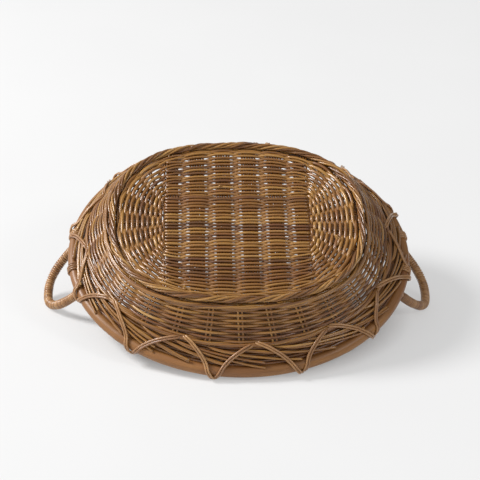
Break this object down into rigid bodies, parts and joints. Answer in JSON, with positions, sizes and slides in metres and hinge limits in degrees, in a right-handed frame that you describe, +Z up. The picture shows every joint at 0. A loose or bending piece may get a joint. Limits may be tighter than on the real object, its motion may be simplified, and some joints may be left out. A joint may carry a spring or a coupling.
{
  "type": "rattan tray basket",
  "caption": "Oval woven rattan tray basket with flared wall, lashed hoop rim, twisted foot ring and fixed cane-wrapped end handles, lying upside down.",
  "frame": {"origin": "middle of the overall box, on the surface that the basket lies on", "axes": "+X along the basket from left handle to right handle, +Y from the resting front rim to the raised back rim, +Z up; the basket lies upside down and its base faces up and forward"},
  "size_m": [0.5694, 0.414, 0.2228],
  "materials": {
    "woven_rattan": "smoked round core, semi-gloss",
    "rattan_rods": "smoked round core, semi-gloss",
    "rattan_pole": "smooth varnished pole",
    "wrapping_cane": "split cane, semi-gloss"
  },
  "bodies": {
    "root": {"base_mat": "woven_rattan", "base_rib_1": "rattan_rods", "base_rib_2": "rattan_rods", "base_rib_3": "rattan_rods", "base_rib_4": "rattan_rods", "base_rib_5": "rattan_rods", "base_rib_6": "rattan_rods", "base_weave": "woven_rattan", "border_cane_1": "rattan_rods", "border_cane_2": "rattan_rods", "border_cane_3": "rattan_rods", "border_cane_4": "rattan_rods", "foot_ring_rod_1": "rattan_rods", "foot_ring_rod_2": "rattan_rods", "foot_ring_rod_3": "rattan_rods", "handle_core_left": "rattan_pole", "handle_core_right": "rattan_pole", "handle_wrap_left": "wrapping_cane", "handle_wrap_right": "wrapping_cane", "rim_hoop": "rattan_pole", "rim_lashing_first": "wrapping_cane", "rim_lashing_second": "wrapping_cane", "wall_stakes_01": "rattan_rods", "wall_stakes_02": "rattan_rods", "wall_stakes_03": "rattan_rods", "wall_stakes_04": "rattan_rods", "wall_stakes_05": "rattan_rods", "wall_stakes_06": "rattan_rods", "wall_stakes_07": "rattan_rods", "wall_stakes_08": "rattan_rods", "wall_stakes_09": "rattan_rods", "wall_stakes_10": "rattan_rods", "wall_stakes_11": "rattan_rods", "wall_stakes_12": "rattan_rods", "wall_stakes_13": "rattan_rods", "wall_stakes_14": "rattan_rods", "wall_stakes_15": "rattan_rods", "wall_stakes_16": "rattan_rods", "wall_stakes_17": "rattan_rods", "wall_stakes_18": "rattan_rods", "wall_stakes_19": "rattan_rods", "wall_stakes_20": "rattan_rods", "wall_stakes_21": "rattan_rods", "wall_stakes_22": "rattan_rods", "wall_stakes_23": "rattan_rods", "wall_stakes_24": "rattan_rods", "wall_stakes_25": "rattan_rods", "wall_stakes_26": "rattan_rods", "wall_stakes_27": "rattan_rods", "wall_weave": "woven_rattan"}
  },
  "joints": []
}
